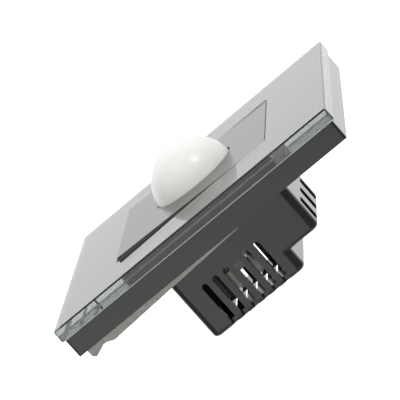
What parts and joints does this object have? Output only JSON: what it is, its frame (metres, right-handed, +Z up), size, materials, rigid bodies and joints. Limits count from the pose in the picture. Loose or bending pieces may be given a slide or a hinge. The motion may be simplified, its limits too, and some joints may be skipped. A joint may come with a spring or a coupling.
{
  "type": "motion sensor light switch",
  "caption": "Square flush wall switch with a clear-fronted grey plate, a rocker key round a white motion sensor dome, and a vented rear housing with screw terminals.",
  "frame": {"origin": "midpoint between the two mounting screw slots, in the plane of the wall at the back of the face frame", "axes": "+Z up the wall, +Y into the wall, so the face and the dome look along -Y; +X to the right seen from the front"},
  "size_m": [0.086, 0.0439, 0.086],
  "materials": {
    "clear_panel": "polished clear plate with bevelled edges",
    "grey_film": "smooth grey backing",
    "dark_moulding": "fine moulded texture, dark grey",
    "zinc_steel": "galvanised sheet steel",
    "key_black": "moulded black",
    "key_grey": "satin grey",
    "lens_white": "milky translucent, soft sheen",
    "black_plastic": "moulded black",
    "can_metal": "drawn metal can",
    "filter_glass": "dark filter glass",
    "cell_orange": "lacquered ceramic",
    "led_clear": "tinted moulded lamp",
    "board_green": "solder mask",
    "screw_steel": "zinc plated",
    "gold_pins": "plated pins",
    "relay_case": "sealed black case",
    "film_case": "grey-brown case",
    "electro_sleeve": "printed sleeve left bare",
    "varistor_case": "dipped coating",
    "resistor_body": "painted ceramic",
    "clamp_brass": "bright brass",
    "spring_steel": "spring wire"
  },
  "bodies": {
    "base": {"glass_panel": "clear_panel", "panel_film": "grey_film", "face_frame": "dark_moulding", "mounting_plate": "zinc_steel", "module_carrier": "dark_moulding", "rear_housing": "dark_moulding", "dome_lens": "lens_white", "sensor_holder": "black_plastic", "pir_sensor": "can_metal", "pir_window": "filter_glass", "photocell": "cell_orange", "status_led": "led_clear", "sensor_board": "board_green", "board_screws": "screw_steel", "sensor_chip": "black_plastic", "latch_body": "black_plastic", "latch_spring": "spring_steel", "board_header": "black_plastic", "header_pins": "gold_pins", "power_board": "board_green", "relay": "relay_case", "film_capacitor": "film_case", "electrolytic_capacitor": "electro_sleeve", "varistor": "varistor_case", "fuse_resistor": "resistor_body", "bridge_rectifier": "black_plastic", "terminal_clamp_left": "clamp_brass", "terminal_clamp_middle": "clamp_brass", "terminal_clamp_right": "clamp_brass", "terminal_screws": "screw_steel"},
    "rocker": {"rocker_body": "key_black", "rocker_face": "key_grey"},
    "switch_stem": {"latch_plunger": "key_black"}
  },
  "joints": [
    {"name": "rocker_hinge", "type": "hinge", "parent": "base", "child": "rocker", "pos_m": [0, -0.0046, 0], "axis": [1, 0, 0], "range_deg": [0, 2.6]},
    {"name": "stem_slide", "type": "slide", "parent": "base", "child": "switch_stem", "axis": [0, 1, 0], "range_m": [0, 0.00067], "deforming": ["latch_spring"]}
  ],
  "couplings": [
    {"joint": "stem_slide", "follows": "rocker_hinge", "m_per_rad": 0.01455}
  ]
}
